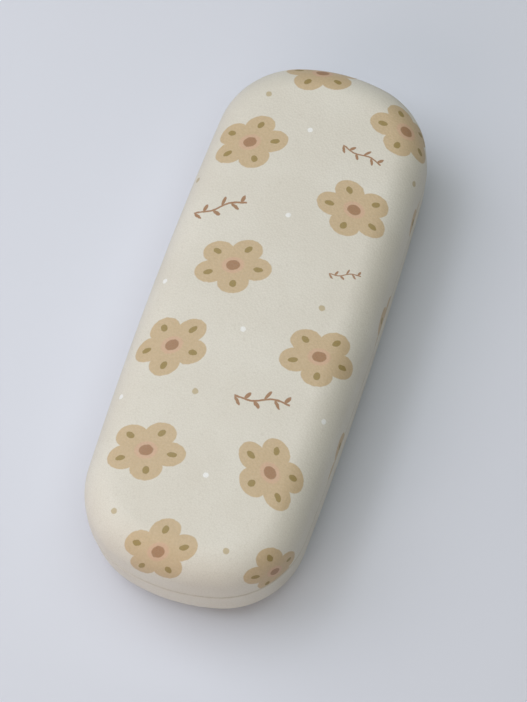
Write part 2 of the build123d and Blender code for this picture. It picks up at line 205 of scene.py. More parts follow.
def skin(name, rings, sharp, capped=False):
    """A closed mesh from closed rings, either capped or folded flat on to a line at the ends."""
    rings = np.array(rings)
    rows, size = rings.shape[:2]
    i, j = np.meshgrid(np.arange(rows - 1), np.arange(size), indexing="ij")
    following = (j + 1) % size
    corners = [i * size + j, i * size + following, (i + 1) * size + following, (i + 1) * size + j]
    faces = np.stack(corners, -1).reshape(-1, 4).tolist()
    if capped:
        faces.append(list(range(size)))
        faces.append([(rows - 1) * size + k for k in range(size)])
    mesh = bpy.data.meshes.new(name)
    mesh.from_pydata((rings.reshape(-1, 3) * MILLI).tolist(), [], faces)
    mesh.update()
    work = bmesh.new()
    work.from_mesh(mesh)
    bmesh.ops.remove_doubles(work, verts=work.verts, dist=1e-7)
    bmesh.ops.dissolve_degenerate(work, edges=work.edges, dist=1e-8)
    bmesh.ops.recalc_face_normals(work, faces=work.faces)
    work.to_mesh(mesh)
    work.free()
    piece = bpy.data.objects.new(name, mesh)
    scene.collection.objects.link(piece)
    smooth(piece, sharp)
    return piece


def thick_path(path, thickness, cap=4):
    """Closed outline round a 2-D path, with rounded ends of cap points each."""
    tangent = np.gradient(path, axis=0)
    tangent /= np.linalg.norm(tangent, axis=1, keepdims=True)
    normal = np.c_[-tangent[:, 1], tangent[:, 0]]

    def round_end(tip, out, across):
        angles = np.linspace(0, math.pi, cap + 2)[1:-1]
        turn = np.cos(angles)[:, None] * across + np.sin(angles)[:, None] * out
        return tip + thickness / 2 * turn

    return np.concatenate([
        path + normal * thickness / 2,
        round_end(path[-1], tangent[-1], normal[-1]),
        (path - normal * thickness / 2)[::-1],
        round_end(path[0], -tangent[0], -normal[0]),
    ])


def measure(mesh):
    """Volume in cubic mm, and the number of edges that aren't closed."""
    work = bmesh.new()
    work.from_mesh(mesh)
    volume = abs(work.calc_volume()) * 1e9
    loose = sum(1 for edge in work.edges if not edge.is_manifold)
    work.free()
    return volume, loose


def notch_back(piece, side, half_x, depth):
    """Cuts a box out of the back wall, from beyond the parting plane to depth."""
    z_low, z_high = sorted((PARTING_Z - side * NOTCH_OVERRUN, PARTING_Z + side * depth))
    before, _ = measure(piece.data)
    # the boolean may fail where faces nearly touch, so a failed cut is tried again slightly moved
    for nudge in (0.0, 0.013, -0.013, 0.031):
        work = bmesh.new()
        bmesh.ops.create_cube(work, size=1.0)
        for vert in work.verts:
            x, y, z = vert.co
            vert.co = Vector((
                x * (2 * half_x + nudge),
                (NOTCH_FRONT_Y + NOTCH_BACK_Y) / 2 + y * (NOTCH_BACK_Y - NOTCH_FRONT_Y) + nudge,
                (z_low + z_high) / 2 + z * (z_high - z_low + nudge),
            )) * MILLI
        mesh = bpy.data.meshes.new("cutter")
        work.to_mesh(mesh)
        work.free()
        cutter = bpy.data.objects.new("cutter", mesh)
        scene.collection.objects.link(cutter)
        boolean = piece.modifiers.new("cut", "BOOLEAN")
        boolean.operation = "DIFFERENCE"
        boolean.solver = "EXACT"
        boolean.object = cutter
        bpy.context.view_layer.update()
        graph = bpy.context.evaluated_depsgraph_get()
        result = bpy.data.meshes.new_from_object(
            piece.evaluated_get(graph), preserve_all_data_layers=True, depsgraph=graph
        )
        piece.modifiers.clear()
        bpy.data.objects.remove(cutter)
        after, loose = measure(result)
        if 0.5 * before < after < 0.999 * before and loose == 0:
            old = piece.data
            piece.data = result
            bpy.data.meshes.remove(old)
            result.name = piece.name
            smooth(piece)
            return
        bpy.data.meshes.remove(result)
    raise RuntimeError(f"cut failed on {piece.name}: {before:.0f} to {after:.0f}, {loose} open")


def vertex_points(mesh):
    """Vertex positions in metres, one row each."""
    flat = np.zeros(len(mesh.vertices) * 3, np.float32)
    mesh.vertices.foreach_get("co", flat)
    return flat.reshape(-1, 3).astype(float)


def nearest_finder(points):
    """A function that gives the (point, index, distance) of the nearest of points."""
    tree = KDTree(len(points))
    for i, point in enumerate(points):
        tree.insert(point, i)
    tree.balance()
    return tree.find


def value_noise(points, scale, seed):
    """Smooth seeded noise, mostly within -1..1, with features about scale across."""
    waves = 14
    draw = np.random.default_rng(seed)
    total = np.zeros(len(points))
    for _ in range(waves):
        wave = draw.normal(size=3)
        wave *= 2 * math.pi / scale / np.linalg.norm(wave) * draw.uniform(0.7, 1.4)
        total += np.sin(points @ wave + draw.uniform(0, 2 * math.pi))
    return total / waves * 1.8


# ---------------------------------------------------------------- the print on the lid
# flat print millimetres; the print follows the leatherette over the rolled edge
BLOSSOMS = [  # x, y, turn in degrees
    (76.2, 5.6, 107), (47.0, 18.0, -59), (63.8, -23.2, -103), (34.7, -16.5, -104),
    (8.6, 10.2, -72), (-18.8, 18.6, 131), (-10.5, -20.6, -79), (-49.6, 15.3, -71),
    (-46.0, -18.2, -131), (-75.4, 3.3, -50), (-71.6, -31.0, -79), (42.6, -47.3, 36),
    (10.0, -47.2, 36), (-30.9, -47.3, 18), (24.0, 45.5, 20), (-3.0, 46.5, -35),
    (-40.0, 46.0, 70), (72.0, 38.0, 140), (94.0, -12.0, 30),
]
SPRIGS = [  # x, y, turn in degrees, scale
    (51.9, -13.5, -100, 0.80), (24.9, 19.5, -61, 1.0), (-27.2, -9.9, -80, 1.0),
    (14.9, -20.0, -73, 0.58),
]
OLIVE_DOTS = [  # x, y
    (63.6, 17.8), (33.4, 30.6), (3.4, -17.0), (-30.0, 8.1), (-68.0, 18.0), (-69.9, -13.9),
    (50.3, -31.1), (-51.6, -42.4),
]
WHITE_DOTS = [  # x, y
    (55.3, 2.8), (27.6, 0.4), (-9.0, 1.5), (-0.3, 27.6), (-36.2, 28.0), (-51.8, -2.3),
    (-27.3, -27.6),
]
PLAIN, BLOSSOM, SPRIG, OLIVE_DOT, WHITE_DOT = range(5)  # values of the "kind" attribute
BLOSSOM_REACH, SPRIG_REACH, DOT_REACH = 10.6, 8.0, 1.0
PRINT_REACH = 0.75  # vertices farther than this from the outer surface are plain


def lay_print(piece, rings, roll_end):
    """Gives each face the local coordinates of its nearest motif as a UV map, and its kind.

    The rings run over the outer surface, and roll_end is the index where the rolled edge ends.
    """
    rings = np.array(rings)
    flat = rings[:, :, :2].copy()
    unrolled = np.zeros(COUNT)
    for k in range(roll_end - 1, -1, -1):
        unrolled = unrolled + np.linalg.norm(rings[k] - rings[k + 1], axis=1)
        flat[k] = rings[roll_end, :, :2] + NORMALS * unrolled[:, None]
    flat = flat.reshape(-1, 2)
    find = nearest_finder(rings.reshape(-1, 3))
    mesh = piece.data
    points = vertex_points(mesh) / MILLI
    vertex_flat = np.zeros((len(points), 2))
    far = np.zeros(len(points), bool)
    for i, point in enumerate(points):
        _, nearest, distance = find(point)
        vertex_flat[i] = flat[nearest]
        far[i] = distance > PRINT_REACH
    motifs = np.array(  # x, y, turn, scale, kind, reach
        [(x, y, turn, 1.0, BLOSSOM, BLOSSOM_REACH) for x, y, turn in BLOSSOMS]
        + [(x, y, turn, scale, SPRIG, SPRIG_REACH * scale) for x, y, turn, scale in SPRIGS]
        + [(x, y, 0, 1.0, OLIVE_DOT, DOT_REACH) for x, y in OLIVE_DOTS]
        + [(x, y, 0, 1.0, WHITE_DOT, DOT_REACH) for x, y in WHITE_DOTS]
    )
    uvs = np.zeros((len(mesh.loops), 2), np.float32)
    kinds = np.zeros(len(mesh.loops), np.float32)
    for face in mesh.polygons:
        verts, loops = list(face.vertices), list(face.loop_indices)
        middle = vertex_flat[verts].mean(0)
        away = np.hypot(motifs[:, 0] - middle[0], motifs[:, 1] - middle[1]) - motifs[:, 5]
        x, y, turn, scale, kind, _ = motifs[int(np.argmin(away))]
        cos, sin = math.cos(math.radians(-turn)), math.sin(math.radians(-turn))
        local = vertex_flat[verts] - [x, y]
        uvs[loops, 0] = (local[:, 0] * cos - local[:, 1] * sin) / scale
        uvs[loops, 1] = (local[:, 0] * sin + local[:, 1] * cos) / scale
        kinds[loops] = PLAIN if far[verts].any() else kind
    # each layer is filled as soon as it is made: adding another moves the first in memory
    mesh.uv_layers.new(name="print")
    mesh.uv_layers["print"].data.foreach_set("uv", uvs.ravel())
    mesh.attributes.new("kind", "FLOAT", "CORNER")
    mesh.attributes["kind"].data.foreach_set("value", kinds)


# ---------------------------------------------------------------- shader helpers
class Signal:
    """An output socket. Arithmetic on it adds Math nodes."""

    def __init__(self, shader, socket):
        self.shader = shader
        self.socket = socket

    def math(self, operation, other=0.0, third=0.0):
        inputs = {0: self, 1: other, 2: third}
        return self.shader.node("ShaderNodeMath", inputs, operation=operation)

    def __add__(self, other):
        return self.math("ADD", other)

    def __sub__(self, other):
        return self.math("SUBTRACT", other)

    def __mul__(self, other):
        return self.math("MULTIPLY", other)

    def __truediv__(self, other):
        return self.math("DIVIDE", other)

    def __mod__(self, other):
        return self.math("FLOORED_MODULO", other)

    def __abs__(self):
        return self.math("ABSOLUTE")

    def fade(self, start, end):
        """0 at start, 1 at end, smooth between them."""
        inputs = {0: self, 1: start, 2: end, 3: 0.0, 4: 1.0}
        return self.shader.node("ShaderNodeMapRange", inputs, interpolation_type="SMOOTHSTEP")

    def remap(self, source, target=(0.0, 1.0)):
        """Maps the range source on to the range target."""
        inputs = {0: self, 1: source[0], 2: source[1], 3: target[0], 4: target[1]}
        return self.shader.node("ShaderNodeMapRange", inputs)


def length(x, y):
    return (x * x + y * y).math("SQRT")


class Shader:
    """The node tree of a material or world."""

    def __init__(self, owner):
        self.owner = owner
        owner.use_nodes = True
        self.tree = owner.node_tree

    def put(self, socket, value):
        if isinstance(value, Signal):
            self.tree.links.new(value.socket, socket)
        else:
            socket.default_value = value

    def node(self, kind, inputs=(), output=0, **settings):
        """Adds a node and returns one of its outputs."""
        made = self.tree.nodes.new(kind)
        for key, value in settings.items():
            setattr(made, key, value)
        for key, value in dict(inputs).items():
            self.put(made.inputs[key], value)
        return Signal(self, made.outputs[output])

    def default_output(self, name):
        return Signal(self, self.tree.nodes[name].outputs[0])

    def principled(self, inputs):
        """Fills the Principled BSDF and returns the material."""
        for key, value in inputs.items():
            self.put(self.tree.nodes["Principled BSDF"].inputs[key], value)
        return self.owner

    def rest_place(self):
        """Rest position in mm, stored on the pieces built here."""
        return self.node("ShaderNodeAttribute", output="Vector", attribute_name="rest_mm")

    def object_place(self):
        """Object coordinates in metres."""
        return self.node("ShaderNodeTexCoord", output="Object")

    def cad_place(self):
        """Object coordinates in mm, for CAD pieces."""
        inputs = {0: self.object_place(), "Scale": 1000.0}
        return self.node("ShaderNodeVectorMath", inputs, operation="SCALE")

    def axes(self, vector):
        """The x, y and z of a vector."""
        first = self.node("ShaderNodeSeparateXYZ", {0: vector})
        return [Signal(self, out) for out in first.socket.node.outputs]

    def mix(self, amount, below, above):
        return self.node("ShaderNodeMix", {0: amount, 6: below, 7: above}, 2, data_type="RGBA")

    def noise(self, place, scale, detail=3.0, rough=0.5):
        inputs = {"Vector": place, "Scale": scale, "Detail": detail, "Roughness": rough}
        return self.node("ShaderNodeTexNoise", inputs, "Fac")

    def cells(self, place, scale):
        inputs = {"Vector": place, "Scale": scale, "Smoothness": 0.4}
        return self.node("ShaderNodeTexVoronoi", inputs, "Distance", feature="SMOOTH_F1")

    def cell_edges(self, place, scale):
        inputs = {"Vector": place, "Scale": scale}
        return self.node("ShaderNodeTexVoronoi", inputs, "Distance", feature="DISTANCE_TO_EDGE")

    def bump(self, height, strength, distance, over=None):
        """A bump of distance metres, laid over another normal if there is one."""
        inputs = {"Strength": strength, "Distance": distance, "Height": height}
        if over is not None:
            inputs["Normal"] = over
        return self.node("ShaderNodeBump", inputs)


def new_material(name):
    return Shader(bpy.data.materials.new(name))


def srgb(*levels):
    """Linear RGBA from sRGB levels of 0 to 255."""

    def linear(level):
        return level / 12.92 if level <= 0.04045 else ((level + 0.055) / 1.055) ** 2.4

    return tuple(linear(level / 255) for level in levels) + (1.0,)


# ---------------------------------------------------------------- materials
CREAM, CREAM_SHADE, CREAM_FLECK = srgb(225, 221, 210), srgb(220, 215, 203), srgb(207, 201, 187)
GRAIN_VALLEY_SHADE, RIM_SEAM_SHADE = srgb(172, 162, 143), srgb(180, 174, 162)
TAN, TAN_SHADE, DEEP_OLIVE = srgb(207, 185, 151), srgb(199, 176, 141), srgb(158, 137, 85)
BROWN, PINK = srgb(166, 128, 96), srgb(214, 172, 150)
OLIVE, WHITE = srgb(190, 173, 136), srgb(240, 240, 238)

# motif sizes in print mm
BLOSSOM_HALF_X, BLOSSOM_HALF_Y, PETALS = 11.0, 8.6, 5
SPRIG_HALF, LEAF_ORIGIN, LEAF_PITCH = 7.7, 8.0, 2.7


def print_motifs(shader, place, fine, base):
    """Lays the blossoms, sprigs and dots over the colour base."""
    uv = shader.node("ShaderNodeUVMap", uv_map="print")
    print_x, print_y, _ = shader.axes(uv)
    kind = shader.node("ShaderNodeAttribute", output="Fac", attribute_name="kind")
    wobble = (shader.noise(place, scale=0.9) - 0.5) * 0.45
    x, y = print_x + wobble, print_y + wobble

    def only(wanted):
        return kind.math("COMPARE", float(wanted), 0.4)

    # a five-petal blossom in units of its half size, folded about the middle of each petal
    unit_x, unit_y = x / BLOSSOM_HALF_X, y / BLOSSOM_HALF_Y
    radius = length(unit_x, unit_y)
    half_petal = math.pi / PETALS
    turn = unit_y.math("ARCTAN2", unit_x) + (2 * math.pi + math.pi / 10 + half_petal)
    fold = turn % (2 * math.pi / PETALS) - half_petal
    petal_x, petal_y = radius * fold.math("COSINE"), radius * fold.math("SINE")
    petal = length(petal_x - 0.60, petal_y) - 0.40
    body = petal.math("MINIMUM", radius - 0.56)
    blossom = body.fade(start=0.014, end=-0.014) * only(BLOSSOM)
    spot = length((petal_x - 0.66) / 0.125, petal_y / 0.085)
    spot = spot.fade(start=1.08, end=0.92) * only(BLOSSOM)
    eye = radius.fade(start=0.19, end=0.16) * only(BLOSSOM)
    halo = radius.fade(start=0.33, end=0.24) * 0.55 * only(BLOSSOM)

    # a sprig: a wavy stem with leaves on alternate sides
    from_stem = y - (x * 0.55).math("SINE") * 0.55
    inside = abs(x).fade(start=SPRIG_HALF, end=7.5)
    stem = abs(from_stem).fade(start=0.34, end=0.22) * inside
    cell = ((x + LEAF_ORIGIN) / LEAF_PITCH).math("FLOOR")
    leaf_side = cell % 2.0 * 2.0 - 1.0
    leaf_x = (x + LEAF_ORIGIN) % LEAF_PITCH - LEAF_PITCH / 2
    leaf_y = from_stem * leaf_side - 1.25
    slant_x = leaf_x * 0.6 + leaf_y * 0.8
    slant_y = leaf_y * 0.6 - leaf_x * 0.8
    leaf = length(slant_x / 1.3, slant_y / 0.5).fade(start=1.15, end=0.9)
    sprig = stem.math("MAXIMUM", leaf * inside) * only(SPRIG)

    dot = length(x, y)
    olive = dot.fade(start=0.98, end=0.72) * only(OLIVE_DOT)
    white = dot.fade(start=0.90, end=0.60) * only(WHITE_DOT)
    tan = shader.mix(fine.remap(source=(0.3, 0.7)), TAN, TAN_SHADE)
    for amount, ink in (
        (blossom, tan), (halo, PINK), (spot, DEEP_OLIVE), (eye, BROWN), (sprig, BROWN),
        (olive * 0.85, OLIVE), (white, WHITE),
    ):
        base = shader.mix(amount, base, ink)
    return base


def leatherette(name, printed):
    shader = new_material(name)
    place = shader.rest_place()
    grain_scale = 1.45
    broad = shader.noise(place, scale=0.045, detail=2.0)
    fine = shader.noise(place, scale=1.4, detail=4.0, rough=0.6)
    pebble = shader.cells(place, grain_scale)
    crease = shader.cell_edges(place, grain_scale)
    base = shader.mix(broad.remap(source=(0.35, 0.65)), CREAM_SHADE, CREAM)
    base = shader.mix(fine.fade(start=0.45, end=0.8) * 0.16, base, CREAM_FLECK)
    if printed:
        base = print_motifs(shader, place, fine, base)
    # the valleys of the grain are painted a little darker, as painted shade in the grain's creases
    base = shader.mix(crease.fade(start=0.10, end=0.0) * 0.16, base, GRAIN_VALLEY_SHADE)
    # the rim is painted slightly grey along the parting line, as painted shade in the seam between
    # lid and base
    z = shader.axes(place)[2]
    rim = abs(z - PARTING_Z).fade(start=0.9, end=0.1)
    base = shader.mix(rim * 0.30, base, RIM_SEAM_SHADE)
    polish = shader.noise(place, scale=0.25, detail=4.0)
    swell = shader.noise(place, scale=0.16, detail=2.0)
    pores = shader.noise(place, scale=3.6, detail=4.0)
    normal = shader.bump(swell, strength=0.25, distance=0.0006)
    normal = shader.bump(pebble, strength=0.32, distance=0.00016, over=normal)
    normal = shader.bump(pores, strength=0.20, distance=0.00006, over=normal)
    return shader.principled({
        "Base Color": base,
        "Roughness": polish.remap(source=(0.3, 0.7), target=(0.46, 0.60)),
        "Specular IOR Level": 0.42,
        "Normal": normal,
    })


def velour(name, light, dark):
    shader = new_material(name)
    place = shader.rest_place()
    nap = shader.noise(place, scale=0.05, detail=2.0)
    pile = shader.noise(place, scale=5.5, detail=5.0, rough=0.7)
    base = shader.mix(nap.remap(source=(0.2, 0.8), target=(0.25, 0.75)), dark, light)
    base = shader.mix(pile.fade(start=0.35, end=0.75) * 0.35, base, light)
    normal = shader.bump(nap, strength=0.12, distance=0.0006)
    return shader.principled({
        "Base Color": base,
        "Roughness": 0.92,
        "Specular IOR Level": 0.12,
        "Sheen Weight": 0.55,
        "Sheen Roughness": 0.42,
        "Sheen Tint": light,
        "Normal": shader.bump(pile, strength=0.5, distance=0.00012, over=normal),
    })


def steel(name, colour, rough, cad=True, brushed=True):
    """Tarnished steel, with fine lines along X if brushed."""
    shader = new_material(name)
    place = shader.cad_place() if cad else shader.rest_place()
    stretch = (0.06, 2.2, 2.2) if brushed else (1.0, 1.0, 1.0)
    stretched = shader.node("ShaderNodeMapping", {0: place, "Scale": stretch})
    lines = shader.noise(stretched, scale=2.4, detail=5.0, rough=0.65)
    tarnish = shader.noise(place, scale=0.12)
    dull = tuple(level * 0.72 for level in colour[:3]) + (1.0,)
    return shader.principled({
        "Base Color": shader.mix(tarnish.remap(source=(0.35, 0.7)), colour, dull),
        "Metallic": 1.0,
        "Roughness": lines.remap(source=(0.3, 0.7), target=(rough - 0.07, rough + 0.10)),
        "Normal": shader.bump(lines, strength=0.25, distance=0.00003),
    })


def foam(name):
    shader = new_material(name)
    bubbles = shader.cells(shader.rest_place(), scale=2.2)
    return shader.principled({
        "Base Color": shader.mix(bubbles, srgb(222, 220, 212), srgb(240, 239, 234)),
        "Roughness": 0.85,
        "Normal": shader.bump(bubbles, strength=0.5, distance=0.0001),
    })


def greyboard(name):
    shader = new_material(name)
    fibre = shader.noise(shader.cad_place(), scale=1.1, detail=6.0, rough=0.7)
    amount = fibre.fade(start=0.35, end=0.7)
    return shader.principled({
        "Base Color": shader.mix(amount, srgb(150, 142, 128), srgb(178, 170, 154)),
        "Roughness": 0.93,
        "Normal": shader.bump(fibre, strength=0.4, distance=0.00008),
    })


SPRING_GREY = srgb(168, 168, 172)
PRINTED = leatherette("printed_leatherette", printed=True)
UNPRINTED = leatherette("plain_leatherette", printed=False)
VELOUR = velour("velour", light=srgb(222, 205, 180), dark=srgb(203, 184, 156))
PAD_VELOUR = velour("pad_velour", light=srgb(225, 208, 184), dark=srgb(207, 188, 161))
TINPLATE = steel("tinplate", srgb(196, 197, 198), rough=0.34)
LEAF_STEEL = steel("spring_steel_cad", SPRING_GREY, rough=0.30)
SPRING_STEEL = steel("spring_steel", SPRING_GREY, rough=0.28, cad=False)
RIVET_STEEL = steel("rivet_steel", srgb(208, 209, 210), rough=0.26, brushed=False)
FOAM = foam("foam")
GREYBOARD = greyboard("greyboard")


def set_material(piece, material):
    piece.data.materials.clear()
    piece.data.materials.append(material)


def place_piece(piece, material, node, body=None):
    """Dresses a piece, lets it ride on body if there is one, and swaps it for a CAD node."""
    # the stored rest position keeps the grain in place on each piece as built
    rest = piece.data.attributes.new("rest_mm", "FLOAT_VECTOR", "POINT")
    points = vertex_points(piece.data) / MILLI
    rest.data.foreach_set("vector", points.astype(np.float32).ravel())
    set_material(piece, material)
    if body:
        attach(piece, body)
    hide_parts(node)


# ---------------------------------------------------------------- covers
COVER_STEPS = dict(wall_steps=8, roll_steps=16, cap_steps=24)
TURN_IN_DEPTH = 6.5  # how far each cover's turned-in edge reaches down inside
WINDOW_HALF_X = 62
WINDOW_DEPTH = {1: 7.68, -1: 9.48}


def rim_ring(side, angle):
    """Ring on the rim's rounded outer edge, 0 on the wall and pi/2 on the rim."""
    return wall(side, RIM_R - RIM_R * math.cos(angle), RIM_DEPTH + RIM_R - RIM_R * math.sin(angle))


def cover(name, side):
    """A cover turned in over the rim. Also gives the rings of its outer surface."""
    outer = shell_rings(side, 0.0, RIM_DEPTH + RIM_R, **COVER_STEPS)
    rings = list(outer[::-1])
    for k in range(1, 8):
        rings.append(rim_ring(side, math.pi / 2 * k / 8))
    for inset in (RIM_R, 1.1, 1.6):
        rings.append(wall(side, inset, RIM_DEPTH))
    for k in range(1, 6):  # the rim's rounded inner edge
        angle = math.pi / 2 * k / 5
        inset = LINING_IN - RIM_INNER_R + RIM_INNER_R * math.sin(angle)
        depth = RIM_DEPTH + RIM_INNER_R - RIM_INNER_R * math.cos(angle)
        rings.append(wall(side, inset, depth))
    inner_start = RIM_DEPTH + 0.8
    for depth in (1.6, 3.2, TURN_IN_DEPTH):
        rings.append(wall(side, LINING_IN, depth))
    for depth in (TURN_IN_DEPTH, 3.0, inner_start):
        rings.append(wall(side, FOAM_IN, depth))
    rings += shell_rings(side, SHELL_IN, inner_start, wall_steps=4, roll_steps=8, cap_steps=10)
    piece = skin(name, rings, sharp=50)
    # the window that the hinge strip fills
    notch_back(piece, side, WINDOW_HALF_X, WINDOW_DEPTH[side])
    return piece, outer


lid_cover, lid_outer = cover("lid_cover_leatherette", 1)
rim_rings = [rim_ring(1, angle) for angle in np.linspace(math.pi / 2, 0, 7)[:-1]]
lid_roll_end = len(rim_rings) + COVER_STEPS["wall_steps"] + COVER_STEPS["roll_steps"]
lay_print(lid_cover, rim_rings + lid_outer, lid_roll_end)
place_piece(lid_cover, PRINTED, "lid_cover", "lid")

base_cover, _ = cover("base_cover_leatherette", -1)
place_piece(base_cover, UNPRINTED, "base_cover", "base")


# ---------------------------------------------------------------- foam and linings
def layer(name, side, outer_in, inner_in, start, edge):
    """A sheet between two insets, with a rounded edge that stands edge mm beyond its walls."""
    inner = shell_rings(side, inner_in, start + edge, wall_steps=6, roll_steps=12, cap_steps=20)
    outer = shell_rings(side, outer_in, start + edge, wall_steps=4, roll_steps=8, cap_steps=10)
    rings = list(inner[::-1])
    middle, half = (inner[0] + outer[0]) / 2, (inner[0] - outer[0]) / 2
    for angle in np.linspace(0, math.pi, 9)[1:-1]:
        rings.append(middle + half * math.cos(angle) - [0, 0, side * edge * math.sin(angle)])
    return skin(name, rings + outer, sharp=60)


for body, side in (("lid", 1), ("base", -1)):
    sheet = layer(
        body + "_foam_sheet", side, FOAM_IN + 0.02, LINING_IN - 0.02, start=6.56, edge=0.15
    )
    notch_back(sheet, side, half_x=34.4, depth=10.4)
    place_piece(sheet, FOAM, body + "_foam", body)
    lining = layer(
        body + "_velour_lining", side, LINING_IN + 0.01, CAVITY_IN, start=2.2, edge=0.4
    )
    notch_back(lining, side, half_x=54.2, depth=8.6)
    place_piece(lining, VELOUR, body + "_lining", body)


# ---------------------------------------------------------------- padded panels
PAD_FACE_IN = CAVITY_IN + 0.03
PAD_IN = 13.0  # the pad's edge, in from the plan outline
CHANNEL_IN = 16.1  # the pressed channel
PAD_UNDERSIDE, PAD_SHOULDER, PAD_TOP, PAD_SINK = 1.03, 1.15, 2.48, 0.40
PAD_SPINE = 0.7
PAD_EDGE = [  # inset from the outline, height over the broad face
    (13.66, PAD_UNDERSIDE), (13.66, 0.03), (13.35, 0.03), (13.16, 0.25), (13.04, 0.7),
    (PAD_IN, PAD_SHOULDER),
]
PAD_TOP_INSETS = (14.7, 15.1, 15.5, 15.8, CHANNEL_IN, 16.4, 16.7, 17.2, 17.9, 18.8, 19.8, 20.8)


def pad(name, side, seed):
    """A padded panel: rolled edge, a pressed channel inside it and a slightly lower middle."""
    stations = list(PAD_EDGE)
    for angle in np.linspace(0, math.pi / 2, 8)[1:]:
        inset = PAD_IN + 1.25 * (1 - math.cos(angle))
        stations.append((inset, PAD_SHOULDER + 1.33 * math.sin(angle)))
    for inset in PAD_TOP_INSETS:
        dip = 0.95 * math.exp(-(((inset - CHANNEL_IN) / 0.62) ** 2))
        sink = PAD_SINK * (1 - math.exp(-max(0, inset - CHANNEL_IN) / 1.0))
        stations.append((inset, PAD_TOP - dip - sink))
    panel = [(ring(inset, 0.0)[:, :2], height) for inset, height in stations]
    under = [(plan, PAD_UNDERSIDE) for plan in towards_spine(panel[0][0], PAD_SPINE, 8)]
    middle = towards_spine(panel[-1][0], PAD_SPINE, 14)
    panel += [(plan, PAD_TOP - PAD_SINK) for plan in middle]
    rings = []
    for plan, height in under[::-1] + panel:
        if height > 1.6:
            flat = np.c_[plan, np.zeros(len(plan))]
            height = height + value_noise(flat, scale=26.0, seed=seed) * 0.05
        rings.append(np.c_[plan, broad_face(side, plan, PAD_FACE_IN) - side * height])
    return skin(name, rings, sharp=70)


def plan_inset(points):
    """How far inside the plan outline each point is."""
    find = nearest_finder(np.c_[OUTLINE, np.zeros(COUNT)])
    insets = np.zeros(len(points))
    for i, point in enumerate(points):
        _, nearest, _ = find((point[0], point[1], 0.0))
        insets[i] = (OUTLINE[nearest] - point) @ NORMALS[nearest]
    return insets


def plump(piece, side):
    """Inflates a pad as cloth, held at its underside and along the pressed channel."""
    sim_scale, last_frame = 20.0, 24
    rest = vertex_points(piece.data) / MILLI
    mesh = piece.data.copy()
    mesh.transform(Matrix.Scale(sim_scale, 4))
    sim = bpy.data.objects.new("plump", mesh)
    scene.collection.objects.link(sim)
    height = side * (broad_face(side, rest[:, :2], PAD_FACE_IN) - rest[:, 2])
    inset = plan_inset(rest[:, :2])
    held = (height < 1.05) | (np.abs(inset - CHANNEL_IN) < 0.36)
    group = sim.vertex_groups.new(name="held")
    group.add([int(i) for i in np.flatnonzero(held)], 1.0, "REPLACE")
    modifier = sim.modifiers.new("cloth", "CLOTH")
    cloth = modifier.settings
    cloth.quality = 6
    cloth.mass = 0.3
    cloth.tension_stiffness = cloth.compression_stiffness = cloth.shear_stiffness = 12.0
    cloth.bending_stiffness = 0.25
    cloth.tension_damping = cloth.compression_damping = cloth.shear_damping = 8.0
    cloth.air_damping = 2.0
    cloth.vertex_group_mass = "held"
    cloth.pin_stiffness = 1.0
    cloth.shrink_min = -0.012
    cloth.use_pressure = True
    cloth.uniform_pressure_force = 1.6
    cloth.effector_weights.gravity = 0.0
    modifier.collision_settings.use_collision = False
    modifier.collision_settings.use_self_collision = False
    modifier.point_cache.frame_start = 1
    modifier.point_cache.frame_end = last_frame
    for k in range(1, last_frame + 1):
        scene.frame_set(k)
    graph = bpy.context.evaluated_depsgraph_get()
    moved = vertex_points(sim.evaluated_get(graph).to_mesh()) / sim_scale / MILLI
    sim.evaluated_get(graph).to_mesh_clear()
    scene.frame_set(1)
    bpy.data.objects.remove(sim)
    # limit the swelling softly, and the sideways drift to 0.35 mm
    move = moved - rest
    swell = -side * move[:, 2]
    limit = np.where(inset > CHANNEL_IN, 0.85, 0.30)
    soft = limit * np.tanh(np.maximum(swell, -0.15) / limit)
    drift = np.linalg.norm(move[:, :2], axis=1)
    share = np.minimum(1.0, 0.35 / np.maximum(drift, 1e-9))
    move = np.c_[move[:, :2] * share[:, None], -side * soft]
    move[held] = 0.0
    points = ((rest + move) * MILLI).astype(np.float32)
    piece.data.vertices.foreach_set("co", points.ravel())
    piece.data.update()
    smooth(piece, 70)


for label, body, side, seed in (("base_floor", "base", -1, 10), ("lid_ceiling", "lid", 1, 12)):
    panel = pad(label + "_velour_pad", side, seed)
    plump(panel, side)
    place_piece(panel, PAD_VELOUR, label + "_pad", body)

# ---------------------------------------------------------------- pieces along the hinge
# their profiles are (distance in from the back wall, height over the parting plane)
BACK = np.flatnonzero(OUTLINE[:, 1] > 0)


def back_wall(x):
    """The outline's y at the back, and the outward normal there."""
    order = BACK[np.argsort(OUTLINE[BACK, 0])]
    known_x = OUTLINE[order, 0]
    y = np.interp(x, known_x, OUTLINE[order, 1])
    normal = np.array([np.interp(x, known_x, NORMALS[order, axis]) for axis in (0, 1)])
    return y, normal / np.linalg.norm(normal)


def back_section(x, profile):
    """Stands a profile on the back wall at x, along the wall's normal."""
    y, normal = back_wall(x)
    return np.c_[np.array([x, y]) - profile[:, :1] * normal, profile[:, 1] + PARTING_Z]


def back_insets(inset):
    """Function of x and height that tells how far in a surface at this inset is at the back."""
    tables = {}
    for side in (1, -1):
        steps = dict(wall_steps=12, roll_steps=30, cap_steps=1)
        rings = np.array(shell_rings(side, inset, 0.0, **steps)[:-1])
        insets = np.einsum("kij,ij->ki", OUTLINE[None] - rings[:, :, :2], NORMALS)
        tables[side] = insets, side * (rings[:, :, 2] - PARTING_Z)

    def inset_at(x, height):
        i = BACK[np.argmin(np.abs(OUTLINE[BACK, 0] - x))]
        insets, depths = tables[1 if height >= 0 else -1]
        return float(np.interp(abs(height), depths[:, i], insets[:, i]))

    return inset_at


def fold_line(height):
    """Depth of the shallow groove along the parting plane."""
    return 0.16 * np.exp(-((height / 0.55) ** 2))


